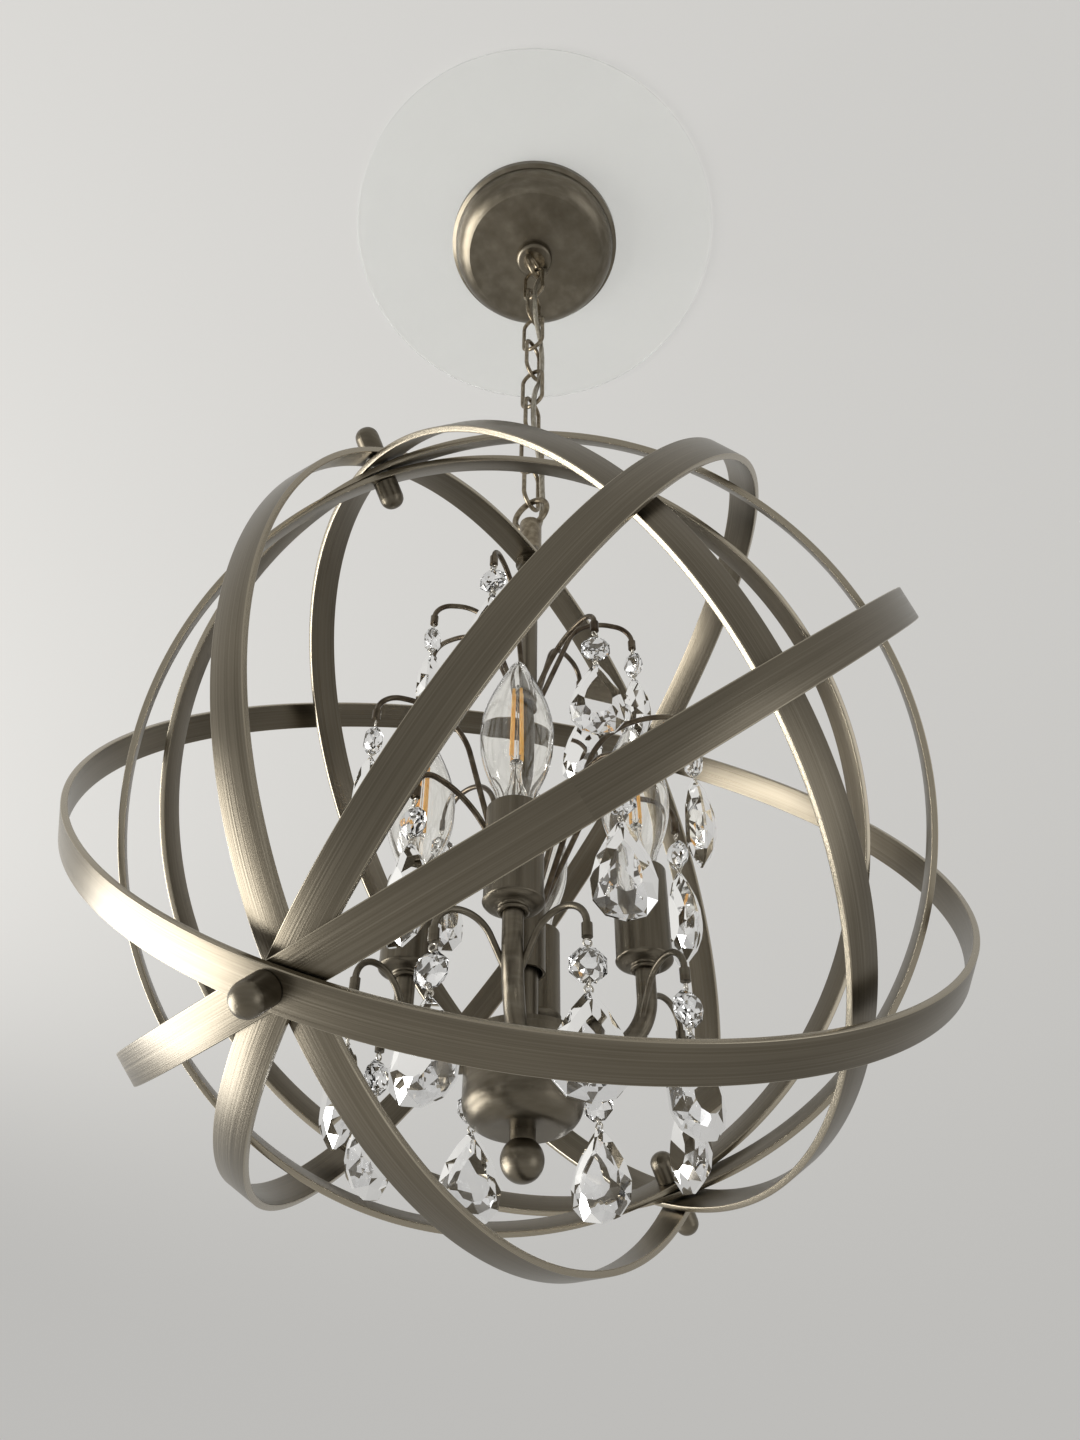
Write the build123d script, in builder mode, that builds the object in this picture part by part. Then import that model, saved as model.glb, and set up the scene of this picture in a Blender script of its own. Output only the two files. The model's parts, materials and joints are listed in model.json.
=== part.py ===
"""Orb chandelier: seven strap rings round a four-candle cluster with crystal drops.

It hangs on a chain from a ceiling canopy. Millimetres, +Z up, origin on the ceiling at the
centre of the canopy, so everything lies below Z = 0. The fixed ring stands in the XZ plane.
"""

from build123d import *
from math import atan, cos, degrees, hypot, radians, sin, tan
import os

# ---------------------------------------------------------------- driving dimensions
# clear disc, canopy and its fixings
disc_radius = 152.4
disc_thickness = 3.0
disc_hole_radius = 56.0
canopy_radius = 70.5
canopy_face_radius = 55.0
canopy_height = 24.0
canopy_wall = 1.0
canopy_rim_height = 5.0
canopy_step = 3.0
crossbar_length = 104.0
crossbar_width = 16.0
crossbar_thickness = 2.0
slot_spacing = 88.9
slot_length = 10.0
slot_width = 4.6
pipe_radius = 4.75
pipe_bore_radius = 3.3
thread_clearance = 0.1
nut_across_flats = 14.0
nut_height = 4.0
shank_radius = 9.0
shank_length = 15.0
collar_radius = 15.0
collar_height = 6.0

# chain
loop_wire_radius = 2.0
canopy_loop_radius = 10.0
fixture_loop_radius = 12.0
link_wire_radius = 1.5
link_width = 20.0
link_pitch = 38.5
link_count = 8
wire_gap = 0.3

# supply cord woven through the chain
cord_radius = 2.0
cord_front = 4.6
cord_sway = 5.6
cord_crossing = 15.0
cord_joint_gap = 3.0
cord_hub_gap = 0.9

# cage of strap rings
ring_width = 16.0
ring_thickness = 3.0
ring_gap = 1.0
frame_ring_radius = 205.0
outer_axis_tilt = -45.0
inner_axis_tilt = 45.0
outer_ring_angles = (56.0, -80.5, -51.5)
inner_ring_angles = (58.5, -77.0, -48.0)

# pivots of the rings
bolt_radius = 2.4
bolt_clearance = 0.08
bolt_reach = 5.0
spacer_radius = 5.5
spacer_thickness = 0.6
knob_radius = 6.5
knob_length = 15.0
cap_radius = 6.0
cap_length = 14.0
seat_gap = 0.3

# stem, nuts and column, heights above the centre of the cage
hub_radius = 7.0
hub_length = 27.7
washer_radius = 9.0
washer_thickness = 1.5
column_radius = 9.5
column_wall = 1.2
column_top = -48.0
column_mouth = -80.0
column_neck_radius = 6.2
column_bottom = -112.0
bowl_radius = 26.0
bowl_wall = 1.5
bowl_bottom = -152.0
bowl_corner = 12.0
lid_thickness = 2.0
ball_radius = 9.2
ball_centre = -164.0
neck_radius = 5.5

# candle arms
arm_count = 4
arm_turn = 28.0
arm_reach = 55.0
arm_radius = 4.6
arm_bend = 28.0
arm_height = -122.0
cup_height = -78.0
cup_radius = 13.4
cup_thickness = 2.5
cup_collar_radius = 7.0
cup_collar_height = 3.0
cup_boss_height = 5.0
sleeve_radius = 13.0
sleeve_wall = 1.2
sleeve_length = 47.0
socket_radius = 9.5
socket_length = 28.0
socket_recess = 2.0
socket_depth = 22.0
base_radius = 7.0
base_length = 20.0
base_lift = 1.0
glass_radius = 17.5
glass_length = 94.0
glass_neck_radius = 8.5
glass_wall = 0.8
glass_belly = 0.48
glass_shoulder = (0.6, 0.79)
filament_radius = 0.9
filament_length = 42.0
filament_spread = 3.4
filament_lift = 32.0
filament_post_radius = 1.2
fit_clearance = 0.1

# crystal hooks
hook_radius = 1.5
tip_radius = 2.3
tip_length = 6.0
spray_collar_radius = 8.0
spray_collar_height = 9.0
upper_collar_height = 84.0
# each hook of a spray: its direction, its reach from the stem and the height of its arch
upper_hooks = ((192.0, 55.0, 158.0), (126.0, 56.0, 160.0), (96.0, 66.0, 158.0), (1.0, 60.0, 158.0),
               (318.0, 64.0, 160.0), (250.0, 58.0, 112.0))
upper_hook_drop = 10.0
middle_hooks = ((303.0, 88.0, 76.0), (322.0, 84.0, 36.0), (252.0, 68.0, 12.0), (138.0, 82.0, 72.0),
                (168.0, 72.0, 0.0), (70.0, 77.0, 60.0))
middle_hook_drop = 12.0
lower_tip_turns = (-23.0, 24.0)
lower_tip_reach = 77.0
lower_hook_foot = 50.0
lower_hook_start = -112.0
lower_hook_peak = -84.0
lower_hook_drop = 12.0
hook_shoulder = 12.0
knee_share = 0.42

# crystals: a bead and a drop on wire pins
pin_radius = 0.6
upper_pin = 5.0
middle_pin = 6.0
lower_pin = 4.0
link_pin = 2.0
bead_width = 15.0
bead_depth = 9.0
crystal_gap = 0.3
upper_drop = (48.0, 28.0, 12.0)
middle_drop = (52.0, 30.0, 13.0)
lower_drop = (44.0, 31.0, 13.0)
octagon_flat = 0.55

# ---------------------------------------------------------------- worked-out places
canopy_top_z = -disc_thickness
canopy_face_z = canopy_top_z - canopy_height
collar_bottom_z = canopy_face_z - collar_height
canopy_loop_z = collar_bottom_z - canopy_loop_radius
chain_pivot_z = canopy_loop_z - canopy_loop_radius
link_wire_span = link_pitch + 2 * link_wire_radius + wire_gap
first_link_z = chain_pivot_z + loop_wire_radius + link_wire_radius + wire_gap - link_wire_span / 2
last_link_z = first_link_z - (link_count - 1) * link_pitch
frame_pivot_z = last_link_z + link_pitch - link_wire_span / 2
fixture_loop_top_z = last_link_z - link_wire_span / 2 + loop_wire_radius + link_wire_radius + wire_gap
fixture_loop_z = fixture_loop_top_z - fixture_loop_radius
hub_top_z = fixture_loop_z - fixture_loop_radius + loop_wire_radius / 2
hub_bottom_z = hub_top_z - hub_length
upper_nut_z = hub_bottom_z - nut_height
upper_washer_z = upper_nut_z - fit_clearance - washer_thickness
frame_top_z = upper_washer_z
cage_centre_z = frame_top_z - frame_ring_radius
ring_pitch = ring_thickness + ring_gap

os.makedirs("parts", exist_ok=True)


def save(part, name):
    """Label a finished piece and write it to its own file."""
    part.label = name
    export_step(part, f"parts/{name}.step")


def at_cage(height):
    """Height above the centre of the cage, as a Z in the part's frame."""
    return cage_centre_z + height


def radial_plane(angle, height=0.0):
    """Upright plane through the stem: local X points outwards, local Y points up."""
    turn = radians(angle)
    return Plane(origin=(0, 0, at_cage(height)), x_dir=(cos(turn), sin(turn), 0), z_dir=(sin(turn), -cos(turn), 0))


def pivot_direction(tilt):
    """Unit vector of a pivot axis in the plane of the frame ring, towards -X."""
    return Vector(-cos(radians(tilt)), 0, sin(radians(tilt)))


def ring_plane(tilt, angle):
    """Plane of a ring that hangs on the pivot axis, turned out of the frame ring's plane."""
    axis = pivot_direction(tilt)
    across = Vector(0, 1, 0).cross(axis)
    spoke = across * cos(radians(angle)) + Vector(0, 1, 0) * sin(radians(angle))
    return Plane(origin=(0, 0, cage_centre_z), x_dir=axis, z_dir=axis.cross(spoke))


def pivot_plane(tilt, side, radius):
    """Plane square to a pivot axis at one of its ends, facing outwards."""
    out = pivot_direction(tilt) * side
    return Plane(origin=Vector(0, 0, cage_centre_z) + out * radius, z_dir=out)


# ---------------------------------------------------------------- ceiling kit
with BuildPart() as ceiling_disc:
    with BuildSketch():
        Circle(disc_radius)
        Circle(disc_hole_radius, mode=Mode.SUBTRACT)
    extrude(amount=-disc_thickness)
    fillet(ceiling_disc.edges().group_by(Axis.Z)[0].sort_by(SortBy.LENGTH)[-1], disc_thickness / 3)
save(ceiling_disc.part, "ceiling_disc")

with BuildPart() as crossbar:
    with BuildSketch():
        SlotOverall(crossbar_length, crossbar_width)
        Circle(pipe_radius + thread_clearance, mode=Mode.SUBTRACT)
        with GridLocations(slot_spacing, 0, 2, 1):
            SlotOverall(slot_length, slot_width, mode=Mode.SUBTRACT)
    extrude(amount=-crossbar_thickness)
save(crossbar.part, "crossbar")

pipe_end_z = collar_bottom_z + crossbar_thickness
with BuildPart() as canopy_pipe:
    with BuildSketch():
        Circle(pipe_radius)
        Circle(pipe_bore_radius, mode=Mode.SUBTRACT)
    extrude(amount=pipe_end_z)
save(canopy_pipe.part, "canopy_pipe")

with BuildPart() as canopy_nut:
    with BuildSketch(Plane.XY.offset(-crossbar_thickness)):
        RegularPolygon(nut_across_flats / 2, 6, major_radius=False)
        Circle(pipe_radius + thread_clearance, mode=Mode.SUBTRACT)
    extrude(amount=-nut_height)
save(canopy_nut.part, "canopy_nut")

with BuildPart() as canopy:
    with BuildSketch(Plane.XZ):
        with BuildLine():
            rim_low = (canopy_radius, canopy_top_z - canopy_rim_height)
            step_low = (canopy_radius - canopy_step, canopy_top_z - canopy_rim_height - canopy_step / 2)
            face_edge = (canopy_face_radius, canopy_face_z)
            Polyline((0, canopy_top_z), (canopy_radius, canopy_top_z), rim_low, step_low)
            TangentArc(step_low, face_edge, tangent=(0, -1))
            Polyline(face_edge, (0, canopy_face_z), (0, canopy_top_z))
        make_face()
    revolve(axis=Axis.Z)
    offset(amount=-canopy_wall, openings=canopy.faces().sort_by(Axis.Z)[-1])
    with BuildSketch(Plane.XY.offset(canopy_top_z)):
        Circle(shank_radius + thread_clearance)
    extrude(amount=-canopy_height, mode=Mode.SUBTRACT)
save(canopy.part, "canopy")

with BuildPart() as screw_collar:
    with BuildSketch(Plane.XY.offset(canopy_face_z)):
        Circle(collar_radius)
        Circle(shank_radius + thread_clearance, mode=Mode.SUBTRACT)
    extrude(amount=-collar_height)
    fillet(screw_collar.edges().group_by(Axis.Z)[0].sort_by(SortBy.LENGTH)[-1], collar_height / 2)
save(screw_collar.part, "screw_collar")

with BuildPart() as canopy_loop:
    with BuildSketch(Plane.XY.offset(collar_bottom_z)):
        Circle(shank_radius)
    extrude(amount=shank_length)
    with BuildSketch(Plane.XY.offset(canopy_loop_z)):
        with Locations((canopy_loop_radius, 0)):
            Circle(loop_wire_radius)
    revolve(axis=Axis((0, 0, canopy_loop_z), (0, 1, 0)))
    with BuildSketch(Plane.XY.offset(pipe_end_z)):
        Circle(pipe_radius + thread_clearance)
    extrude(amount=shank_length, mode=Mode.SUBTRACT)
save(canopy_loop.part, "canopy_loop")

# ---------------------------------------------------------------- chain
link_bend_radius = link_width / 2 - link_wire_radius
link_straight = link_wire_span - 2 * link_bend_radius


def link_path(upright, centre_z):
    """Sweep one chain link in an upright plane."""
    frame = Plane(origin=(0, 0, centre_z), x_dir=(0, 0, 1), z_dir=upright)
    half_straight = link_straight / 2
    with BuildPart() as link:
        with BuildLine(frame) as path:
            right = Line((-half_straight, -link_bend_radius), (half_straight, -link_bend_radius))
            top = ThreePointArc(right @ 1, (half_straight + link_bend_radius, 0), (half_straight, link_bend_radius))
            left = Line(top @ 1, (-half_straight, link_bend_radius))
            ThreePointArc(left @ 1, (-half_straight - link_bend_radius, 0), right @ 0)
        with BuildSketch(Plane(origin=right @ 0.5, z_dir=right % 0.5)):
            Circle(link_wire_radius)
        sweep(path=path.wires()[0])
    return link.part


with BuildPart() as chain_links:
    for number in range(link_count - 1):
        upright_normal = (1, 0, 0) if number % 2 == 0 else (0, 1, 0)
        add(link_path(upright_normal, first_link_z - number * link_pitch))
save(chain_links.part, "chain_links")

save(link_path((0, 1, 0), last_link_z), "end_link")


# ---------------------------------------------------------------- supply cord
def cord_run(points, name):
    """Round tube along straight runs joined by arcs as large as their runs allow."""
    corners = [Vector(*point) for point in points]
    radii = []
    for before, corner, after in zip(corners, corners[1:], corners[2:]):
        turn = (corner - before).get_angle(after - corner)
        run = min((corner - before).length, (after - corner).length)
        radii.append(0.45 * run / tan(radians(turn / 2)))
    print(name, "bend radii", [round(radius) for radius in radii])
    with BuildPart() as tube:
        with BuildLine() as path:
            FilletPolyline(*corners, radius=radii)
        with BuildSketch(Plane(origin=path.line @ 0, z_dir=path.line % 0)):
            Circle(cord_radius)
        sweep(path=path.line)
    save(tube.part, name)


cord_exit_x = collar_radius - 2 * cord_radius
top_cord_points = [
    (cord_exit_x, -cord_front, collar_bottom_z - wire_gap),
    (cord_exit_x, -cord_front, collar_bottom_z - 3 * cord_radius),
    (cord_sway, -cord_front - wire_gap, canopy_loop_z - wire_gap),
    (cord_sway, -cord_front, chain_pivot_z + cord_joint_gap / 2),
]
cord_run(top_cord_points, "cord_top")

# the cord changes sides through the window of every other link
cord_side = 1
cord_points = [(cord_sway + wire_gap, -cord_front, chain_pivot_z - cord_joint_gap / 2)]
for number in range(0, link_count, 2):
    window_z = first_link_z - number * link_pitch
    cord_points.append((cord_side * cord_sway, -cord_front, window_z + cord_crossing))
    cord_side = -cord_side
    cord_points.append((cord_side * cord_sway, -cord_front, window_z - cord_crossing))
cord_points.append((cord_side * (cord_sway + wire_gap), -cord_front, frame_pivot_z + cord_joint_gap / 2))
cord_run(cord_points, "cord")

end_cord_points = [
    (cord_side * (cord_sway + wire_gap), -cord_front, frame_pivot_z - cord_joint_gap / 2),
    (cord_side * cord_sway, -cord_front - wire_gap, last_link_z),
    (cord_side * (cord_sway + 3 * wire_gap), -cord_front - 3 * wire_gap, fixture_loop_z + fixture_loop_radius / 2),
    (cord_side * (cord_sway - 3 * wire_gap), -cord_front + 5 * wire_gap, hub_top_z + cord_hub_gap),
]
cord_run(end_cord_points, "cord_end")

# ---------------------------------------------------------------- hanging loop, stem and nuts
stem_top_z = hub_bottom_z + (hub_top_z - hub_bottom_z) / 2
stem_bottom_z = at_cage(ball_centre)

with BuildPart() as fixture_loop:
    with BuildSketch(Plane.XY.offset(hub_bottom_z)):
        Circle(hub_radius)
    extrude(amount=hub_top_z - hub_bottom_z)
    with BuildSketch(Plane.XY.offset(fixture_loop_z)):
        with Locations((0, fixture_loop_radius)):
            Circle(loop_wire_radius)
    revolve(axis=Axis((0, 0, fixture_loop_z), (1, 0, 0)))
    with BuildSketch(Plane.XY.offset(hub_bottom_z)):
        Circle(pipe_radius + thread_clearance)
    extrude(amount=stem_top_z - hub_bottom_z, mode=Mode.SUBTRACT)
save(fixture_loop.part, "fixture_loop")

with BuildPart() as stem:
    with BuildSketch(Plane.XY.offset(stem_bottom_z)):
        Circle(pipe_radius)
        Circle(pipe_bore_radius, mode=Mode.SUBTRACT)
    extrude(amount=stem_top_z - stem_bottom_z)
save(stem.part, "stem")

frame_inner_top_z = frame_top_z - ring_thickness - seat_gap
lower_nut_z = frame_inner_top_z - washer_thickness - fit_clearance - nut_height
with BuildPart() as stem_fixings:
    for low, height in ((upper_nut_z, nut_height), (lower_nut_z, nut_height)):
        with BuildSketch(Plane.XY.offset(low)):
            RegularPolygon(nut_across_flats / 2, 6, major_radius=False)
            Circle(pipe_radius + thread_clearance, mode=Mode.SUBTRACT)
        extrude(amount=height)
    for low in (upper_washer_z, frame_inner_top_z - washer_thickness):
        with BuildSketch(Plane.XY.offset(low)):
            Circle(washer_radius)
            Circle(pipe_radius + thread_clearance, mode=Mode.SUBTRACT)
        extrude(amount=washer_thickness)
save(stem_fixings.part, "stem_fixings")


# ---------------------------------------------------------------- cage rings
def strap_ring(name, plane, outer_radius, pivot_tilts, stem_hole=False):
    """Flat strap bent into a ring, with a hole at each end of its pivot axes."""
    with BuildPart() as ring:
        with BuildSketch(plane):
            Circle(outer_radius)
            Circle(outer_radius - ring_thickness, mode=Mode.SUBTRACT)
        extrude(amount=ring_width / 2, both=True)
        for tilt in pivot_tilts:
            for side in (1, -1):
                with BuildSketch(pivot_plane(tilt, side, outer_radius + ring_thickness / 2)):
                    Circle(bolt_radius + bolt_clearance)
                extrude(amount=-2 * ring_thickness, mode=Mode.SUBTRACT)
        if stem_hole:
            with BuildSketch(Plane.XY.offset(frame_top_z + ring_thickness / 2)):
                Circle(pipe_radius + thread_clearance)
            extrude(amount=-2 * ring_thickness, mode=Mode.SUBTRACT)
    save(ring.part, name)


frame_plane = Plane(origin=(0, 0, cage_centre_z), x_dir=(1, 0, 0), z_dir=(0, -1, 0))
strap_ring("frame_ring", frame_plane, frame_ring_radius, (outer_axis_tilt, inner_axis_tilt), stem_hole=True)
outer_count = len(outer_ring_angles)
for index, angle in enumerate(outer_ring_angles):
    radius = frame_ring_radius + (outer_count - index) * ring_pitch
    strap_ring(f"outer_ring_{index + 1}", ring_plane(outer_axis_tilt, angle), radius, (outer_axis_tilt,))
for index, angle in enumerate(inner_ring_angles):
    radius = frame_ring_radius - (index + 1) * ring_pitch
    strap_ring(f"inner_ring_{index + 1}", ring_plane(inner_axis_tilt, angle), radius, (inner_axis_tilt,))

# pivot stacks: outer radius of the knob's seat and of the inner cap's seat on each axis
outermost_radius = frame_ring_radius + outer_count * ring_pitch
innermost_radius = frame_ring_radius - len(inner_ring_angles) * ring_pitch - ring_thickness
pivot_ends = (
    (outer_axis_tilt, outermost_radius, frame_ring_radius - ring_thickness, knob_radius, knob_length),
    (inner_axis_tilt, frame_ring_radius, innermost_radius, cap_radius, cap_length),
)

with BuildPart() as pivot_bolts:
    for tilt, outer_seat, inner_seat, _, _ in pivot_ends:
        for side in (1, -1):
            with BuildSketch(pivot_plane(tilt, side, inner_seat - bolt_reach)):
                Circle(bolt_radius)
            extrude(amount=outer_seat - inner_seat + 2 * bolt_reach)
save(pivot_bolts.part, "pivot_bolts")


def round_cap(plane, radius, length):
    """Round-ended cap nut standing on a plane, bored for its bolt."""
    with BuildPart() as cap:
        with BuildSketch(plane):
            Circle(radius)
        extrude(amount=length)
        fillet(cap.edges().sort_by(Axis(plane.origin, plane.z_dir))[-1], radius * 0.9)
        with BuildSketch(plane):
            Circle(bolt_radius + bolt_clearance / 2)
        extrude(amount=bolt_reach, mode=Mode.SUBTRACT)
    return cap.part


with BuildPart() as pivot_knobs:
    for tilt, outer_seat, _, radius, length in pivot_ends:
        for side in (1, -1):
            add(round_cap(pivot_plane(tilt, side, outer_seat + seat_gap), radius, length))
    for tilt, _, inner_seat, _, _ in pivot_ends:
        for side in (1, -1):
            seat = pivot_plane(tilt, side, inner_seat - seat_gap)
            add(round_cap(Plane(origin=seat.origin, z_dir=-seat.z_dir), cap_radius, cap_length))
save(pivot_knobs.part, "pivot_knobs")

with BuildPart() as pivot_spacers:
    for tilt, direction in ((outer_axis_tilt, 1), (inner_axis_tilt, -1)):
        for side in (1, -1):
            for step in range(3):
                inner_face = frame_ring_radius + step * ring_pitch
                if direction < 0:
                    inner_face = frame_ring_radius - ring_thickness - ring_gap - step * ring_pitch
                low = inner_face + (ring_gap - spacer_thickness) / 2
                with BuildSketch(pivot_plane(tilt, side, low)):
                    Circle(spacer_radius)
                    Circle(bolt_radius + bolt_clearance / 2, mode=Mode.SUBTRACT)
                extrude(amount=spacer_thickness)
save(pivot_spacers.part, "pivot_spacers")

# ---------------------------------------------------------------- column, bowl and finial
with BuildPart() as column:
    with BuildSketch(Plane.XY.offset(at_cage(column_mouth))):
        Circle(column_radius)
    extrude(amount=column_top - column_mouth)
    with BuildSketch(Plane.XY.offset(at_cage(column_mouth))):
        Circle(column_radius - column_wall)
    extrude(amount=column_top - column_mouth - lid_thickness, mode=Mode.SUBTRACT)
    with BuildSketch(Plane.XY.offset(at_cage(column_bottom))):
        Circle(column_neck_radius)
    extrude(amount=column_top - column_bottom)
    with BuildSketch(Plane.XY.offset(at_cage(column_bottom))):
        Circle(bowl_radius)
    extrude(amount=-lid_thickness)
    with BuildSketch(Plane.XY.offset(at_cage(column_top))):
        Circle(pipe_radius + thread_clearance)
    extrude(amount=column_bottom - column_top - lid_thickness, mode=Mode.SUBTRACT)
save(column.part, "column")

bowl_top = column_bottom - lid_thickness
with BuildPart() as bowl:
    with BuildSketch(Plane.XY.offset(at_cage(bowl_bottom))):
        Circle(bowl_radius)
    extrude(amount=bowl_top - bowl_bottom)
    fillet(bowl.edges().group_by(Axis.Z)[0], bowl_corner)
    offset(amount=-bowl_wall, openings=bowl.faces().sort_by(Axis.Z)[-1])
    with BuildSketch(Plane.XY.offset(at_cage(bowl_bottom))):
        Circle(pipe_radius + thread_clearance)
    extrude(amount=2 * bowl_wall, mode=Mode.SUBTRACT)
    for number in range(arm_count):
        facing = radial_plane(arm_turn + number * 360 / arm_count, arm_height)
        with BuildSketch(Plane(origin=facing.origin, z_dir=facing.x_dir)):
            Circle(arm_radius + thread_clearance)
        extrude(amount=2 * bowl_radius, mode=Mode.SUBTRACT)
save(bowl.part, "bowl")

with BuildPart() as finial:
    with BuildSketch(Plane.XY.offset(at_cage(ball_centre))):
        Circle(neck_radius)
    extrude(amount=bowl_bottom - ball_centre)
    with Locations((0, 0, at_cage(ball_centre))):
        Sphere(ball_radius)
    with BuildSketch(Plane.XY.offset(at_cage(ball_centre))):
        Circle(pipe_radius + thread_clearance)
    extrude(amount=2 * ball_radius, mode=Mode.SUBTRACT)
save(finial.part, "finial")


# ---------------------------------------------------------------- bent wire and tube
def bent_rod(plane, points, radii, rod_radius, bore=0.0):
    """Rod or tube along runs and arcs in an upright plane."""
    with BuildPart() as rod:
        with BuildLine(plane) as path:
            FilletPolyline(*points, radius=radii)
        with BuildSketch(Plane(origin=path.line @ 0, z_dir=path.line % 0)):
            Circle(rod_radius)
            if bore:
                Circle(bore, mode=Mode.SUBTRACT)
        sweep(path=path.line)
    return rod.part


def hook(plane, start, reach, peak, end):
    """Wire hook that climbs from its foot, arches over and turns down to a capped tip."""
    start_radius, start_height = start
    knee_radius = start_radius + (reach - start_radius) * knee_share
    climb = degrees(atan((peak - start_height) / (knee_radius - start_radius)))
    top_run = reach - knee_radius - hook_shoulder
    knee_bend = 0.98 * top_run / tan(radians(climb / 2))
    slope = hypot(peak - start_height, knee_radius - start_radius)
    knee_bend = min(knee_bend, 0.95 * slope / tan(radians(climb / 2)))
    drop = min(hook_shoulder, 0.98 * (peak - end))
    points = [(start_radius, start_height), (knee_radius, peak), (reach, peak), (reach, end)]
    return bent_rod(plane, points, [knee_bend, drop], hook_radius)


def hook_tip(plane, reach, end):
    """Cap on the end of a hook, where the crystal's pin hangs."""
    with BuildPart() as tip:
        with BuildSketch(Plane(origin=plane.from_local_coords((reach, end)), z_dir=(0, 0, -1))):
            Circle(tip_radius)
        extrude(amount=tip_length)
    return tip.part


def tip_point(plane, reach, end):
    """Lowest point of a hook's cap, where its crystals hang."""
    return plane.from_local_coords((reach, end - tip_length))


def collar_on_stem(height, outer):
    """Plain bored collar on the stem, standing on a height."""
    with BuildPart() as collar:
        with BuildSketch(Plane.XY.offset(at_cage(height))):
            Circle(outer)
            Circle(pipe_radius + thread_clearance, mode=Mode.SUBTRACT)
        extrude(amount=spray_collar_height)
    return collar.part


hangers = []
with BuildPart() as upper_spray:
    add(collar_on_stem(upper_collar_height, spray_collar_radius))
    start = (spray_collar_radius - hook_radius, upper_collar_height + spray_collar_height / 2)
    for angle, reach, peak in upper_hooks:
        plane = radial_plane(angle)
        end = peak - upper_hook_drop
        add(hook(plane, start, reach, peak, end))
        add(hook_tip(plane, reach, end))
        hangers.append(("upper", tip_point(plane, reach, end), angle))
save(upper_spray.part, "upper_spray")

with BuildPart() as middle_spray:
    add(collar_on_stem(column_top, column_radius))
    start = (column_radius - hook_radius, column_top + spray_collar_height / 2)
    for angle, reach, peak in middle_hooks:
        plane = radial_plane(angle)
        end = peak - middle_hook_drop
        add(hook(plane, start, reach, peak, end))
        add(hook_tip(plane, reach, end))
        hangers.append(("middle", tip_point(plane, reach, end), angle))
save(middle_spray.part, "middle_spray")

# ---------------------------------------------------------------- candle arms with their lower hooks
arm_angles = [arm_turn + number * 360 / arm_count for number in range(arm_count)]
arm_root = bowl_radius - 2 * bowl_wall
arm_top = cup_height + cup_thickness
lower_hook_end = lower_hook_peak - lower_hook_drop
for number, arm_angle in enumerate(arm_angles):
    arm_plane = radial_plane(arm_angle)
    bend_points = [(arm_root, arm_height), (arm_reach, arm_height), (arm_reach, arm_top)]
    with BuildPart() as arm:
        add(bent_rod(arm_plane, bend_points, [arm_bend], arm_radius))
        for turn in lower_tip_turns:
            foot = arm_plane.from_local_coords((lower_hook_foot, 0))
            across = radial_plane(arm_angle + turn).from_local_coords((lower_tip_reach, 0)) - foot
            hook_plane = Plane(origin=foot, x_dir=across, z_dir=across.cross(Vector(0, 0, 1)))
            add(hook(hook_plane, (0, lower_hook_start), across.length, lower_hook_peak, lower_hook_end))
            add(hook_tip(hook_plane, across.length, lower_hook_end))
            hangers.append(("lower", tip_point(hook_plane, across.length, lower_hook_end), arm_angle + turn))
        add(bent_rod(arm_plane, bend_points, [arm_bend], pipe_bore_radius), mode=Mode.SUBTRACT)
    save(arm.part, f"arm_{number + 1}")

# ---------------------------------------------------------------- candles, one on each arm
cup_top = cup_height + cup_thickness
sleeve_top = cup_top + sleeve_length
socket_top = sleeve_top - socket_recess
base_bottom = socket_top - base_length + base_lift
glass_bottom = base_bottom + base_length
candle_places = [(arm_reach * cos(radians(angle)), arm_reach * sin(radians(angle))) for angle in arm_angles]


def turned(height, radius, length, bore=0.0):
    """Round solid at each candle place, standing on a height, with an optional bore."""
    with BuildPart() as rounds:
        with BuildSketch(Plane.XY.offset(at_cage(height))):
            with Locations(*candle_places):
                Circle(radius)
                if bore:
                    Circle(bore, mode=Mode.SUBTRACT)
        extrude(amount=length)
    return rounds.part


with BuildPart() as candle_cups:
    add(turned(cup_height - cup_collar_height, cup_collar_radius, cup_collar_height + cup_thickness))
    add(turned(cup_height, cup_radius, cup_thickness))
    add(turned(cup_top, sleeve_radius - sleeve_wall - fit_clearance, cup_boss_height))
    add(turned(cup_height - cup_collar_height, arm_radius + fit_clearance, 4 * cup_thickness + cup_boss_height),
        mode=Mode.SUBTRACT)
save(candle_cups.part, "candle_cups")

save(turned(cup_top, sleeve_radius, sleeve_length, sleeve_radius - sleeve_wall), "candle_sleeves")

with BuildPart() as sockets:
    add(turned(socket_top - socket_length, socket_radius, socket_length))
    add(turned(arm_top, arm_radius, socket_top - socket_length - arm_top))
    add(turned(socket_top - socket_depth, base_radius + fit_clearance, socket_depth), mode=Mode.SUBTRACT)
    add(turned(arm_top, pipe_bore_radius, socket_length + sleeve_length), mode=Mode.SUBTRACT)
save(sockets.part, "sockets")

with BuildPart() as bulb_bases:
    add(turned(base_bottom, base_radius, base_length))
save(bulb_bases.part, "bulb_bases")


def flame(inset):
    """Half outline of a flame-tipped bulb, drawn inwards by an inset."""
    belly_height = glass_length * glass_belly
    tip_height = glass_length - 3 * inset
    foot = (glass_neck_radius - inset, inset)
    belly = (glass_radius - inset, belly_height)
    shoulder = ((glass_radius - inset) * glass_shoulder[0], glass_length * glass_shoulder[1])
    Spline(foot, belly, shoulder, (0, tip_height), tangents=((0.5, 1), (-0.5, 1)))
    Polyline((0, tip_height), (0, inset), foot)


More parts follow.
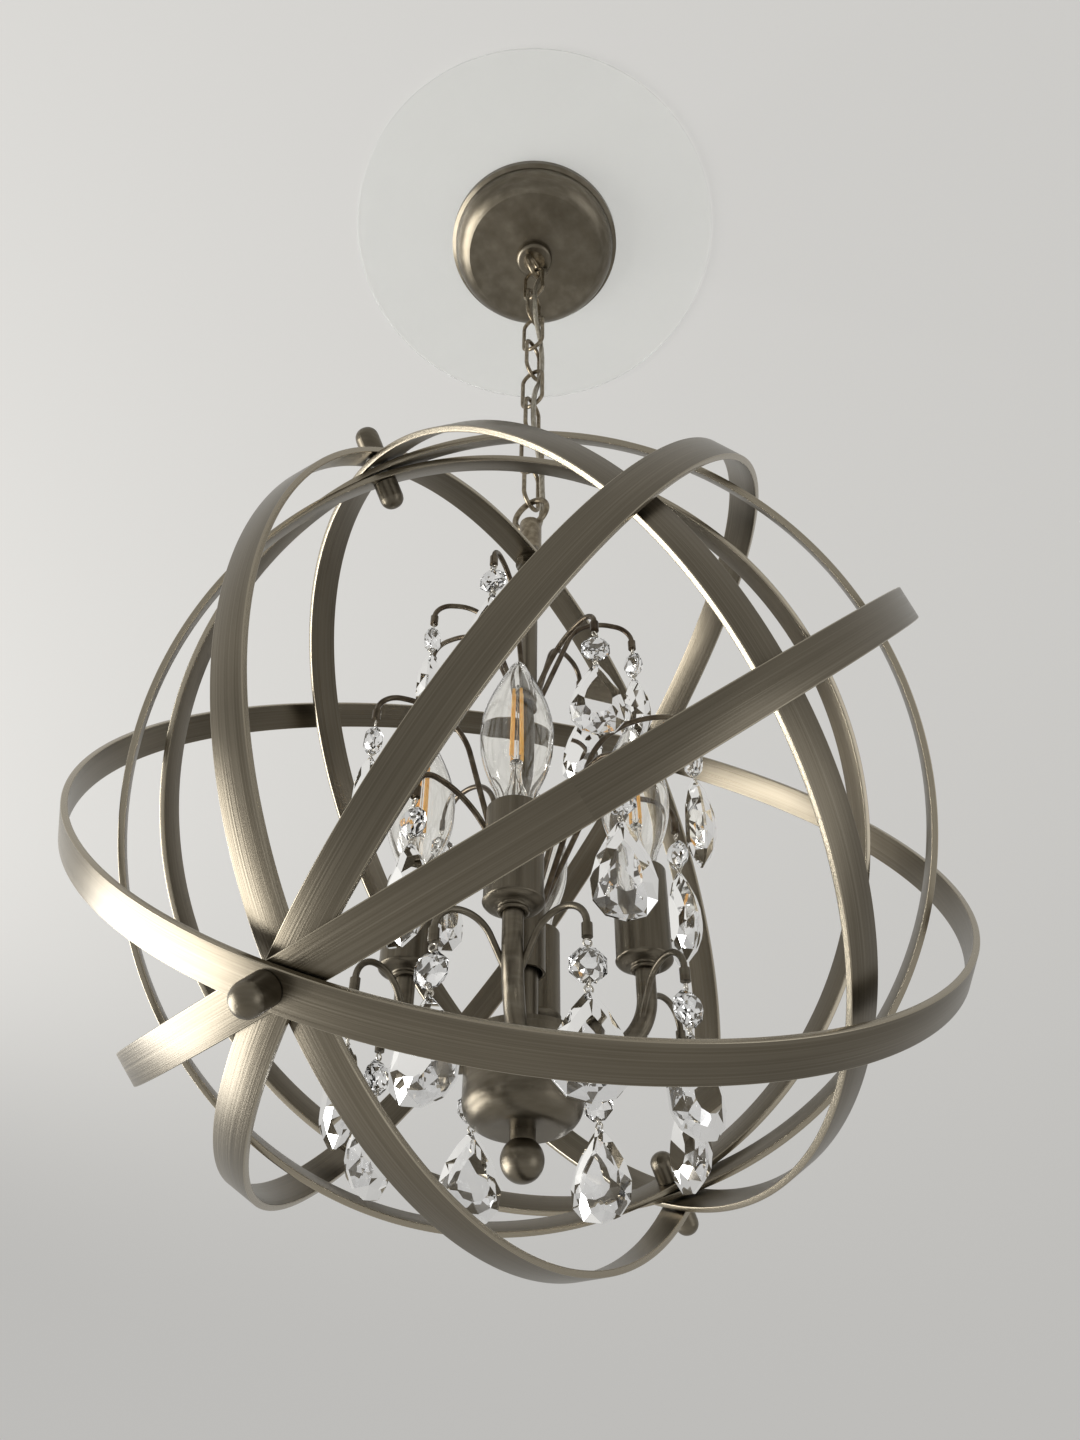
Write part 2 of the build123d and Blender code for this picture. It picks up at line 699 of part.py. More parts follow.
with BuildPart() as bulb_form:
    with BuildSketch(Plane.XZ):
        with BuildLine():
            flame(0)
        make_face()
        with BuildLine():
            flame(glass_wall)
        make_face(mode=Mode.SUBTRACT)
    revolve(axis=Axis.Z)

with BuildPart() as bulb_glass:
    with Locations(*[(x, y, at_cage(glass_bottom)) for x, y in candle_places]):
        add(bulb_form.part)
save(bulb_glass.part, "bulb_glass")

post_places = []
for x, y in candle_places:
    for side in range(4):
        turn = radians(45 + 90 * side)
        post_places.append((x + filament_spread * cos(turn), y + filament_spread * sin(turn)))
post_bottom = glass_bottom + glass_wall + crystal_gap
with BuildPart() as filaments:
    with BuildSketch(Plane.XY.offset(at_cage(glass_bottom + filament_lift))):
        with Locations(*post_places):
            Circle(filament_radius)
    extrude(amount=filament_length)
    add(turned(post_bottom, filament_spread + 2 * filament_radius, filament_lift + glass_bottom - post_bottom))
save(filaments.part, "filaments")

# ---------------------------------------------------------------- crystals

def octagon(width, height):
    """Octagon that fills a width and a height."""
    return Polygon(*[(width / 2 * cos(radians(22.5 + 45 * step)) / cos(radians(22.5)),
                      height / 2 * sin(radians(22.5 + 45 * step)) / cos(radians(22.5))) for step in range(8)])


with BuildPart() as bead_form:
    for offset_y, scale in ((-0.5, octagon_flat), (-0.12, 1), (0.12, 1), (0.5, octagon_flat)):
        with BuildSketch(Plane.XZ.offset(-offset_y * bead_depth)):
            octagon(bead_width * scale, bead_width * scale)
    loft(ruled=True)


def drop_form(size):
    """Faceted almond, hanging down from its top point."""
    length, width, depth = size
    with BuildPart() as drop:
        for share, spread in ((0, 0.16), (0.18, 0.5), (0.62, 1), (0.86, 0.66), (1, 0.12)):
            with BuildSketch(Plane.XY.offset(-share * length)):
                octagon(width * spread, depth * spread)
        loft(ruled=True)
    return drop.part


def strand(place, angle, pin, drop, drop_length):
    """Crystal strand under a hook: pin, bead, short pin and drop, as separate solids."""
    first_pin = place.Z - crystal_gap
    bead_top = first_pin - pin
    bead_bottom = bead_top - crystal_gap - bead_width
    second_pin = bead_bottom - crystal_gap
    drop_top = second_pin - link_pin - crystal_gap
    with BuildPart() as pieces:
        for top, length in ((first_pin, pin), (second_pin, link_pin)):
            with BuildSketch(Plane.XY.offset(top)):
                with Locations((place.X, place.Y)):
                    Circle(pin_radius)
            extrude(amount=-length)
        with Locations(Location((place.X, place.Y, bead_top - crystal_gap - bead_width / 2), (0, 0, angle + 90))):
            add(bead_form.part)
        with Locations(Location((place.X, place.Y, drop_top), (0, 0, angle + 90))):
            add(drop)
    return pieces.part


strand_kinds = {"upper": (upper_pin, upper_drop), "middle": (middle_pin, middle_drop), "lower": (lower_pin, lower_drop)}
drop_forms = {kind: drop_form(size) for kind, (_, size) in strand_kinds.items()}
counts = {kind: 0 for kind in strand_kinds}
for kind, place, angle in hangers:
    counts[kind] += 1
    pin, size = strand_kinds[kind]
    name = f"{kind}_strand_{counts[kind]}"
    print(name, "hangs at", round(place.X, 3), round(place.Y, 3), round(place.Z, 3), "facing", round(angle, 2))
    save(strand(place, angle, pin, drop_forms[kind], size[0]), name)
print("chain pivot", chain_pivot_z, "frame pivot", frame_pivot_z, "collar", collar_bottom_z)
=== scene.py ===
"""Orb chandelier: finishes, crystals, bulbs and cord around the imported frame."""

import json
from math import atan2, cos, pi, radians, sin, sqrt

import bpy
import numpy as np
from mathutils import Matrix, Vector


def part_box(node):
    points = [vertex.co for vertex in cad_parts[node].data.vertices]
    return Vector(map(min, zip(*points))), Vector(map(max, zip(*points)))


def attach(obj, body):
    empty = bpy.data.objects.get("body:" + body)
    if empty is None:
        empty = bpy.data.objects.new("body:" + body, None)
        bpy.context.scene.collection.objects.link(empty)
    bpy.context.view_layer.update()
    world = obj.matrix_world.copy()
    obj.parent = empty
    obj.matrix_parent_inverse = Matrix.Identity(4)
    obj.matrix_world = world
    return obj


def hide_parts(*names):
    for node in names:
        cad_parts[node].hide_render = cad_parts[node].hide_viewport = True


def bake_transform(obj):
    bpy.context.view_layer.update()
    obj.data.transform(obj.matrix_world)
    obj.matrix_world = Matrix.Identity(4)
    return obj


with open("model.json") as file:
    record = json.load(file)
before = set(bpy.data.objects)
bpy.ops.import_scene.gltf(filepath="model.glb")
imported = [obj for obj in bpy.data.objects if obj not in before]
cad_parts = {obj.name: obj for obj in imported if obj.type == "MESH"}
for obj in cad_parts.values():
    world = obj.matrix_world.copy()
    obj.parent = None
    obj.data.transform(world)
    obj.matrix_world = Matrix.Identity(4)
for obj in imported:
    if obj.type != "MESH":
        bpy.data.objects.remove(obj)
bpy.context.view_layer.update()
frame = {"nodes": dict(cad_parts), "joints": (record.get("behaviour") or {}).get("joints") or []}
nodes = frame["nodes"]
scene = bpy.context.scene
joints = {joint["name"]: joint for joint in frame["joints"]}

# ---------------------------------------------------------------- camera
cage_centre = Vector((0.0, 0.0, -0.618))
camera_offset = Vector((-0.3849, -0.2539, -0.3219))
view_heading = Vector((0.8425, 0.5388, 0.0)).normalized()
camera_pitch = radians(40.583)
camera_roll = radians(0.236)
lens_mm = 27.70

forward = view_heading * cos(camera_pitch) + Vector((0, 0, sin(camera_pitch)))
level_right = forward.cross(Vector((0, 0, 1))).normalized()
level_up = level_right.cross(forward)
right = level_right * cos(camera_roll) + level_up * sin(camera_roll)
up = right.cross(forward)
camera_data = bpy.data.cameras.new("camera")
camera_data.lens = lens_mm
camera_data.sensor_width = 36.0
camera_data.sensor_fit = "AUTO"
camera_data.clip_start = 0.01
camera = bpy.data.objects.new("camera", camera_data)
camera.matrix_world = Matrix((right, up, -forward)).transposed().to_4x4()
camera.location = cage_centre + camera_offset
scene.collection.objects.link(camera)
bpy.context.scene.camera = camera


# ---------------------------------------------------------------- mesh helpers
def mesh_object(name, points, faces, smooth=True, uvs=None):
    """New mesh object in the part's frame; uvs holds one pair for each point."""
    mesh = bpy.data.meshes.new(name)
    mesh.from_pydata([tuple(point) for point in points], [], faces)
    if uvs is not None:
        layer = mesh.uv_layers.new(name="UVMap")
        for loop in mesh.loops:
            layer.data[loop.index].uv = uvs[loop.vertex_index]
    mesh.polygons.foreach_set("use_smooth", [smooth] * len(mesh.polygons))
    mesh.update()
    piece = bpy.data.objects.new(name, mesh)
    scene.collection.objects.link(piece)
    return piece


def finish_piece(piece, material, body, slot, *replaced):
    """Paint a piece, let it ride on its body and hide the solids it stands for."""
    piece.data.materials.append(material)
    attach(piece, body)
    if replaced:
        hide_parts(*replaced)


def grid_faces(rows, columns, close_rows=False):
    """Quads between the rows of a grid whose columns run round and close."""
    faces = []
    for row in range(rows if close_rows else rows - 1):
        for column in range(columns):
            a = row * columns + column
            b = row * columns + (column + 1) % columns
            c = (row + 1) % rows * columns + (column + 1) % columns
            d = (row + 1) % rows * columns + column
            faces.append((a, b, c, d))
    return faces


def merged(name, groups, smooth=True):
    """One mesh object from several lists of points and faces."""
    points = []
    faces = []
    for group_points, group_faces in groups:
        base = len(points)
        points += list(group_points)
        faces += [tuple(base + index for index in face) for face in group_faces]
    return mesh_object(name, points, faces, smooth)


def tube(route, radius, sides, closed=False):
    """Points and faces of a round tube along a route, carried without twist."""
    route = [Vector(point) for point in route]
    count = len(route)
    points = []
    normal = None
    for index, point in enumerate(route):
        if closed:
            ahead = route[(index + 1) % count] - route[index - 1]
        else:
            ahead = route[min(index + 1, count - 1)] - route[max(index - 1, 0)]
        ahead.normalize()
        if normal is None:
            normal = ahead.orthogonal().normalized()
        normal = (normal - ahead * normal.dot(ahead)).normalized()
        side = ahead.cross(normal)
        for step in range(sides):
            turn = 2 * pi * step / sides
            points.append(point + normal * radius * cos(turn) + side * radius * sin(turn))
    faces = grid_faces(count, sides, close_rows=closed)
    if not closed:
        faces.append(tuple(reversed(range(sides))))
        faces.append(tuple(range((count - 1) * sides, count * sides)))
    return points, faces


def turned(profile, centre, sides):
    """Points and faces of a profile of radius and height turned about an upright axis."""
    points = []
    for radius, height in profile:
        for step in range(sides):
            turn = 2 * pi * step / sides
            across = centre[0] + radius * cos(turn)
            along = centre[1] + radius * sin(turn)
            points.append(Vector((across, along, centre[2] + height)))
    return points, grid_faces(len(profile), sides)


# ---------------------------------------------------------------- cord route
cord_radius = 0.0019
cord_sides = 14
cord_points = [
    (0.0110, -0.0046, -0.0333), (0.0110, -0.0046, -0.0390), (0.0056, -0.0049, -0.0433), (0.0058, -0.0046, -0.0530),
    (0.0056, -0.0046, -0.0551), (-0.0056, -0.0046, -0.0851), (-0.0056, -0.0046, -0.1321), (0.0056, -0.0046, -0.1621),
    (0.0056, -0.0046, -0.2091), (-0.0056, -0.0046, -0.2391), (-0.0056, -0.0046, -0.2861), (0.0056, -0.0046, -0.3161),
    (0.0059, -0.0046, -0.3220), (0.0056, -0.0049, -0.3396), (0.0066, -0.0056, -0.3627), (0.0046, -0.0031, -0.3788),
]
pivot_heights = [joints["chain_swing"]["pos_m"][2], joints["frame_swing"]["pos_m"][2]]
# half the height over which the cord bends at a swing axis
pivot_span = 0.006
# how far neighbouring stretches of the cord run into each other
stretch_overlap = 0.0006
# a height beyond both ends of the cord
open_end = 1.0


def smooth_route(points, resolution=12):
    """Points read off a smooth open curve guided by a few points."""
    data = bpy.data.curves.new("route", "CURVE")
    data.dimensions = "3D"
    data.resolution_u = resolution
    spline = data.splines.new("NURBS")
    spline.points.add(len(points) - 1)
    for control, point in zip(spline.points, points):
        control.co = (*point, 1)
    spline.order_u = 3
    spline.use_endpoint_u = True
    holder = bpy.data.objects.new("route", data)
    route_mesh = bpy.data.meshes.new_from_object(holder)
    route = [vertex.co.copy() for vertex in route_mesh.vertices]
    bpy.data.objects.remove(holder)
    bpy.data.curves.remove(data)
    bpy.data.meshes.remove(route_mesh)
    return route


cord_route = smooth_route(cord_points)


# ---------------------------------------------------------------- finishes
def new_material(name):
    """Empty node material with its shader: returns the material, its nodes, its links and the shader."""
    material = bpy.data.materials.new(name)
    material.use_nodes = True
    tree = material.node_tree
    return material, tree.nodes, tree.links, tree.nodes["Principled BSDF"]


def stretched_noise(tree_nodes, links, source, scale, detail):
    """Noise whose pattern is drawn out by a scale on each axis of its coordinates."""
    mapping = tree_nodes.new("ShaderNodeMapping")
    mapping.inputs["Scale"].default_value = scale
    noise = tree_nodes.new("ShaderNodeTexNoise")
    noise.inputs["Scale"].default_value = 1.0
    noise.inputs["Detail"].default_value = detail
    links.new(source, mapping.inputs["Vector"])
    links.new(mapping.outputs["Vector"], noise.inputs["Vector"])
    return noise.outputs["Fac"]


def ramp(tree_nodes, links, value, stops):
    """Colour ramp over a value; stops holds places and grey levels or colours."""
    node = tree_nodes.new("ShaderNodeValToRGB")
    elements = node.color_ramp.elements
    while len(elements) < len(stops):
        elements.new(0.5)
    for element, (place, colour) in zip(elements, stops):
        element.position = place
        element.color = (*colour, 1) if isinstance(colour, tuple) else (colour, colour, colour, 1)
    links.new(value, node.inputs["Fac"])
    return node.outputs["Color"]


def mixed(tree_nodes, links, factor, first, second, blend_type="MIX"):
    """Colour mix of two sockets or colours."""
    node = tree_nodes.new("ShaderNodeMix")
    node.data_type = "RGBA"
    node.blend_type = blend_type
    for socket, value in ((node.inputs["Factor"], factor), (node.inputs["A"], first), (node.inputs["B"], second)):
        if isinstance(value, bpy.types.NodeSocket):
            links.new(value, socket)
        elif isinstance(value, tuple):
            socket.default_value = (*value, 1)
        else:
            socket.default_value = value
    return node.outputs["Result"]


# how much paler and how glossy a strap edge is; the paler tone is partly rubbed wear and partly a painted highlight
edge_wear_and_highlight_gain = 2.3
edge_roughness = 0.22


def aged_metal(name, dark, mid, light, streaks, clouds, roughness, coordinates="UV", bump=0.00012):
    """Brushed, darkened metal: fine streaks over slow clouds of tone, paler at the edges, which is partly rubbed
    wear and partly a painted highlight.
    """
    material, tree_nodes, links, shader = new_material(name)
    source = tree_nodes.new("ShaderNodeTexCoord").outputs[coordinates]
    fine = stretched_noise(tree_nodes, links, source, streaks, 4.0)
    broad = stretched_noise(tree_nodes, links, source, tuple(value * 0.38 for value in streaks), 2.0)
    cloud = stretched_noise(tree_nodes, links, source, clouds, 3.0)
    streak_tone = ramp(tree_nodes, links, fine, ((0.30, dark), (0.52, mid), (0.74, light)))
    broad_tone = ramp(tree_nodes, links, broad, ((0.32, dark), (0.55, mid), (0.78, light)))
    tone = mixed(tree_nodes, links, 0.35, streak_tone, broad_tone)
    shade = ramp(tree_nodes, links, cloud, ((0.30, 0.84), (0.70, 1.08)))
    tone = mixed(tree_nodes, links, 1.0, tone, shade, "MULTIPLY")
    wear = tree_nodes.new("ShaderNodeAttribute")
    wear.attribute_name = "wear"
    # edges and strap sides turn paler: partly rubbed wear, partly a painted highlight
    worn_and_highlit_tone = tuple(min(1.0, value * edge_wear_and_highlight_gain) for value in light)
    tone = mixed(tree_nodes, links, wear.outputs["Fac"], tone, worn_and_highlit_tone)
    links.new(tone, shader.inputs["Base Color"])
    rough = tree_nodes.new("ShaderNodeMapRange")
    rough.inputs["To Min"].default_value = roughness - 0.09
    rough.inputs["To Max"].default_value = roughness + 0.12
    links.new(fine, rough.inputs["Value"])
    gloss = mixed(tree_nodes, links, wear.outputs["Fac"], rough.outputs["Result"], (edge_roughness,) * 3)
    links.new(gloss, shader.inputs["Roughness"])
    shader.inputs["Metallic"].default_value = 1.0
    flat = tree_nodes.new("ShaderNodeMath")
    flat.operation = "SUBTRACT"
    flat.inputs[0].default_value = 1.0
    flat.use_clamp = True
    links.new(wear.outputs["Fac"], flat.inputs[1])
    grain = tree_nodes.new("ShaderNodeMath")
    grain.operation = "MULTIPLY"
    links.new(fine, grain.inputs[0])
    links.new(flat.outputs["Value"], grain.inputs[1])
    relief = tree_nodes.new("ShaderNodeBump")
    relief.inputs["Distance"].default_value = bump
    relief.inputs["Strength"].default_value = 0.6
    links.new(grain.outputs["Value"], relief.inputs["Height"])
    links.new(relief.outputs["Normal"], shader.inputs["Normal"])
    return material


strap_tones = ((0.132, 0.114, 0.084), (0.168, 0.147, 0.112), (0.228, 0.204, 0.160))
wire_tones = ((0.07, 0.05, 0.034), (0.13, 0.105, 0.075), (0.26, 0.225, 0.17))
chain_tones = ((0.12, 0.095, 0.06), (0.25, 0.21, 0.15), (0.42, 0.37, 0.28))
zinc_tones = ((0.42, 0.42, 0.40), (0.55, 0.55, 0.53), (0.68, 0.68, 0.66))
strap_metal = aged_metal("strap_metal", *strap_tones, (6, 1500, 1), (9, 40, 1), 0.30)
upright_metal = aged_metal("upright_metal", *strap_tones, (700, 700, 8), (30, 30, 14), 0.34, "Object")
round_metal = aged_metal("round_metal", *strap_tones, (90, 90, 420), (24, 24, 24), 0.32, "Object")
wire_metal = aged_metal("wire_metal", *wire_tones, (160, 160, 160), (30, 30, 30), 0.30, "Object", 0.00005)
chain_metal = aged_metal("chain_metal", *chain_tones, (300, 300, 300), (60, 60, 60), 0.33, "Object", 0.00006)
zinc_metal = aged_metal("zinc_metal", *zinc_tones, (220, 220, 220), (40, 40, 40), 0.38, "Object", 0.00005)


def clear_material(name, colour, roughness, ior, unevenness=0.02):
    """Clear glass or plastic with a faint unevenness in its gloss."""
    material, tree_nodes, links, shader = new_material(name)
    source = tree_nodes.new("ShaderNodeTexCoord").outputs["Object"]
    noise = stretched_noise(tree_nodes, links, source, (35, 35, 35), 2.0)
    rough = tree_nodes.new("ShaderNodeMapRange")
    rough.inputs["To Min"].default_value = roughness
    rough.inputs["To Max"].default_value = roughness + unevenness
    links.new(noise, rough.inputs["Value"])
    links.new(rough.outputs["Result"], shader.inputs["Roughness"])
    tint = ramp(tree_nodes, links, noise, ((0.3, tuple(value * 0.985 for value in colour)), (0.7, colour)))
    links.new(tint, shader.inputs["Base Color"])
    shader.inputs["Transmission Weight"].default_value = 1.0
    shader.inputs["IOR"].default_value = ior
    return material


crystal_glass = clear_material("crystal_glass", (0.985, 0.99, 1.0), 0.0, 1.60)
bulb_glass = clear_material("bulb_glass", (0.985, 0.98, 0.96), 0.0, 1.45)
disc_alpha = 0.5
disc_plastic = clear_material("disc_plastic", (0.93, 0.95, 0.935), 0.14, 1.49, 0.05)
disc_plastic.node_tree.nodes["Principled BSDF"].inputs["Alpha"].default_value = disc_alpha


def spotted_material(name, dark, light, scale, roughness, metallic=0.0):
    """Moulded or cast finish with a slow drift of tone and a fine grain."""
    material, tree_nodes, links, shader = new_material(name)
    source = tree_nodes.new("ShaderNodeTexCoord").outputs["Object"]
    grain = stretched_noise(tree_nodes, links, source, scale, 5.0)
    links.new(ramp(tree_nodes, links, grain, ((0.35, dark), (0.65, light))), shader.inputs["Base Color"])
    shader.inputs["Roughness"].default_value = roughness
    shader.inputs["Metallic"].default_value = metallic
    relief = tree_nodes.new("ShaderNodeBump")
    relief.inputs["Distance"].default_value = 0.00004
    links.new(grain, relief.inputs["Height"])
    links.new(relief.outputs["Normal"], shader.inputs["Normal"])
    return material


filament_finish = spotted_material("filament_finish", (0.86, 0.42, 0.10), (0.98, 0.62, 0.22), (900, 900, 300), 0.35)
filament_shader = filament_finish.node_tree.nodes["Principled BSDF"]
# painted glow: the filaments emit a faint amber light though they are no lamps in this scene
filament_shader.inputs["Emission Color"].default_value = (1.0, 0.55, 0.16, 1)
filament_shader.inputs["Emission Strength"].default_value = 0.25
black_plastic = spotted_material("black_plastic", (0.018, 0.017, 0.016), (0.035, 0.033, 0.03), (300, 300, 300), 0.5)
base_metal = spotted_material("base_metal", (0.62, 0.60, 0.56), (0.78, 0.76, 0.72), (260, 260, 700), 0.3, 1.0)
cord_finish = spotted_material("cord_finish", (0.30, 0.265, 0.20), (0.52, 0.48, 0.39), (900, 900, 260), 0.32, 0.55)
pin_metal = spotted_material("pin_metal", (0.55, 0.52, 0.46), (0.72, 0.69, 0.62), (400, 400, 400), 0.22, 1.0)


# ---------------------------------------------------------------- cage rings
ring_nodes = {"frame_ring": "frame"}
for joint in frame["joints"]:
    if joint["name"].endswith("_turn"):
        ring_nodes[joint["child"]] = joint["child"]


def ring_shape(node):
    """Across direction, outer radius, inner radius and width of a strap ring, read from its solid."""
    places = np.array([vertex.co for vertex in nodes[node].data.vertices]) - np.array(cage_centre)
    across = Vector(np.linalg.svd(places - places.mean(axis=0), full_matrices=False)[2][2])
    level = places @ np.array(across)
    reach = np.sqrt(np.maximum((places ** 2).sum(axis=1) - level ** 2, 0))
    return across.normalized(), float(reach.max()), float(reach.min()), float(level.max() - level.min())


strap_segments = 320
strap_corner = 0.0005
corner_steps = 3
edge_wear_and_highlight = 0.55
# places of the section where a corner meets the outer or the inner face, which get neither wear nor painted
# highlight
flat_points = (corner_steps, corner_steps + 1, 3 * corner_steps + 2, 3 * corner_steps + 3)


def strap_section(outer, inner, width):
    """Rounded section of a strap, as places of radius and level."""
    section = []
    half = width / 2
    for radius, level, start in ((outer, half, 0), (outer, -half, -90), (inner, -half, -180), (inner, half, -270)):
        sign_r = 1 if radius == outer else -1
        sign_l = 1 if level > 0 else -1
        centre = (radius - sign_r * strap_corner, level - sign_l * strap_corner)
        for step in range(corner_steps + 1):
            turn = radians(start + 90 - 90 * step / corner_steps)
            section.append((centre[0] + strap_corner * cos(turn), centre[1] + strap_corner * sin(turn)))
    return section


def strap_ring(node, body):
    """High-resolution strap with rounded edges in place of a ring's solid; its edges and sides are paler, partly
    wear and partly a painted highlight.
    """
    across, outer, inner, width = ring_shape(node)
    spoke = across.orthogonal().normalized()
    other = across.cross(spoke)
    section = strap_section(outer, inner, width)
    points = []
    uvs = []
    wear = []
    run = [0.0]
    for first, second in zip(section, section[1:]):
        run.append(run[-1] + sqrt((first[0] - second[0]) ** 2 + (first[1] - second[1]) ** 2))
    for segment in range(strap_segments + 1):
        turn = 2 * pi * segment / strap_segments
        out = spoke * cos(turn) + other * sin(turn)
        for index, (radius, level) in enumerate(section):
            points.append(cage_centre + out * radius + across * level)
            uvs.append((turn * outer, run[index]))
            # edge and side points carry the paler tone: partly wear, partly a painted highlight
            wear.append(edge_wear_and_highlight if index not in flat_points else 0.0)
    columns = len(section)
    faces = []
    for segment in range(strap_segments):
        for index in range(columns):
            a = segment * columns + index
            b = segment * columns + (index + 1) % columns
            faces.append((a, a + columns, b + columns, b))
    piece = mesh_object(f"{node}_strap", points, faces, True, uvs)
    attribute = piece.data.attributes.new("wear", "FLOAT", "POINT")
    attribute.data.foreach_set("value", wear)
    finish_piece(piece, strap_metal, body, "brushed_strap", node)


for ring, ring_body in ring_nodes.items():
    strap_ring(ring, ring_body)

# ---------------------------------------------------------------- crystals
pin_radius = 0.00045
pin_sides = 8
loop_radius = 0.0017
loop_steps = 20
# how far a pin enters its bead, and how far the lower loops stand above their seats
pin_sink = 0.0026
loop_lift = 0.0002
drop_sides = 14
bead_sides = 8
# cut of a stone: shares of its outline, and levels as shares of its depth
table_share = 0.5
crown_share = 0.8
girdle_level = 0.05
crown_level = 0.33
table_level = 0.5
# outline of a drop: its two exponents, its peak and the share of its length where the facets meet
drop_rise = 0.95
drop_fall = 0.46
drop_peak = 0.410
drop_focus = 0.6
strand_sizes = {
    "upper": {"pin": 0.005, "drop": (0.048, 0.028, 0.012)},
    "middle": {"pin": 0.006, "drop": (0.052, 0.030, 0.013)},
    "lower": {"pin": 0.004, "drop": (0.044, 0.031, 0.013)},
}
# strands whose stones hang turned about their wire
stone_turns = {
    "upper_strand_6": radians(-36),
    "middle_strand_3": radians(-38),
    "lower_strand_7": radians(-24),
    "lower_strand_6": radians(-14),
}
bead_width = 0.015
bead_depth = 0.009
link_pin = 0.002
crystal_gap = 0.0003


def cut_stone(outline, depth, centre=(0.0, 0.0)):
    """Faceted stone from its outline: girdle, crown and a flat table on both faces."""
    count = len(outline)
    centre = Vector(centre)
    girdle_half = depth * girdle_level
    points = []

    def ring(share, level, offset):
        start = len(points)
        for index in range(count):
            place = Vector(outline[index])
            if offset:
                place = (place + Vector(outline[(index + 1) % count])) / 2
            place = centre + (place - centre) * share
            points.append((place.x, level, place.y))
        return start

    faces = []
    for side in (1, -1):
        girdle = ring(1.0, side * girdle_half, False)
        crown = ring(crown_share, side * depth * crown_level, True)
        table = ring(table_share, side * depth * table_level, False)
        for index in range(count):
            ahead = (index + 1) % count
            new_faces = [
                (girdle + index, girdle + ahead, crown + index),
                (crown + index, girdle + ahead, crown + ahead),
                (crown + index, crown + ahead, table + ahead),
                (table + index, crown + index, table + ahead),
            ]
            faces += new_faces if side < 0 else [tuple(reversed(face)) for face in new_faces]
        cap = tuple(range(table, table + count))
        faces.append(cap if side < 0 else tuple(reversed(cap)))
    for index in range(count):
        ahead = (index + 1) % count
        back = 3 * count
        faces.append((index, ahead, back + ahead, back + index))
    return points, faces


def drop_outline(length, width):
    """Almond outline hanging from its point, widest below the middle, with a round foot."""
    outline = []
    for index in range(drop_sides):
        turn = 2 * pi * index / drop_sides
        fall = (1 - cos(turn)) / 2
        bulge = fall ** drop_rise * (1 - fall) ** drop_fall / drop_peak
        across = min(1.0, bulge) * (1 if sin(turn) >= 0 else -1)
        if index in (0, drop_sides // 2):
            across = 0.0
        outline.append((across * width / 2, -fall * length))
    return outline


def bead_outline(width):
    """Octagon outline of a bead about its centre."""
    half_step = 180 / bead_sides
    reach = width / 2 / cos(radians(half_step))
    turns = [radians(half_step + 2 * half_step * index) for index in range(bead_sides)]
    return [(reach * cos(turn), reach * sin(turn)) for turn in turns]


def wire_loop(centre, normal):
    """Closed loop of pin wire about a direction."""
    normal = Vector(normal).normalized()
    side = normal.orthogonal().normalized()
    other = normal.cross(side)
    route = []
    for step in range(loop_steps):
        turn = 2 * pi * step / loop_steps
        route.append(Vector(centre) + side * loop_radius * cos(turn) + other * loop_radius * sin(turn))
    return tube(route, pin_radius, pin_sides, closed=True)


def placed(points, place, turn):
    """Points of an upright form turned about Z and moved to a place."""
    matrix = Matrix.Translation(place) @ Matrix.Rotation(turn, 4, "Z")
    return [matrix @ Vector(point) for point in points]


def crystal_strand(node):
    """Bead and drop of cut glass with their wire pins, under the hook that carries them."""
    joint = joints[f"{node}_swing"]
    hang = Vector(joint["pos_m"])
    facing = atan2(joint["axis"][0], -joint["axis"][1])
    sizes = strand_sizes[node.split("_")[0]]
    length, width, depth = sizes["drop"]
    bead_centre = hang.z - 2 * crystal_gap - sizes["pin"] - crystal_gap - bead_width / 2
    drop_top = bead_centre - bead_width / 2 - 3 * crystal_gap - link_pin
    turn = facing + pi / 2 + stone_turns.get(node, 0.0)
    bead_points, bead_faces = cut_stone(bead_outline(bead_width), bead_depth)
    drop_points, drop_faces = cut_stone(drop_outline(length, width), depth, (0.0, -drop_focus * length))
    bead_points = placed(bead_points, Vector((hang.x, hang.y, bead_centre)), turn)
    drop_points = placed(drop_points, Vector((hang.x, hang.y, drop_top)), turn)
    stones = merged(f"{node}_stones", ((bead_points, bead_faces), (drop_points, drop_faces)), smooth=False)
    finish_piece(stones, crystal_glass, node, "crystal", node)

    tangent = Vector((-sin(facing), cos(facing), 0))
    radial = Vector((cos(facing), sin(facing), 0))
    pin_top = hang.z - crystal_gap
    pin_foot = bead_centre + bead_width / 2 - pin_sink
    pin_route = [(hang.x, hang.y, pin_top - 2 * loop_radius), (hang.x, hang.y, pin_foot)]
    groups = [
        tube(pin_route, pin_radius, pin_sides),
        wire_loop((hang.x, hang.y, pin_top - loop_radius - pin_radius), radial),
        wire_loop((hang.x, hang.y, bead_centre - bead_width / 2 + loop_lift), tangent),
        wire_loop((hang.x, hang.y, drop_top + loop_lift), radial),
    ]
    wires = merged(f"{node}_wires", groups)
    finish_piece(wires, pin_metal, node, "crystal")


for node in sorted(nodes):
    if "_strand_" in node:
        crystal_strand(node)

# ---------------------------------------------------------------- bulbs
glass_wall = 0.0007
glass_sides = 64
# the inside of the glass, in wall thicknesses: how much shorter it is and how far it is lifted
inside_loss = 2.5
inside_lift = 0.8
# degrees from the X axis to the first candle
candle_turn = 28
# depth below the top of the glass in which the tips are looked for
tip_depth = 1e-5
candle_centres = []
glass_low, glass_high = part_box("bulb_glass")
glass_places = np.array([vertex.co for vertex in nodes["bulb_glass"].data.vertices])
bulb_length = glass_high[2] - glass_low[2]
tips = glass_places[glass_places[:, 2] > glass_high[2] - tip_depth]
for quarter in range(4):
    turn = radians(candle_turn + 90 * quarter)
    heading = np.array((cos(turn), sin(turn)))
    nearest = tips[np.argmax(tips[:, :2] @ heading)]
    candle_centres.append((float(nearest[0]), float(nearest[1])))

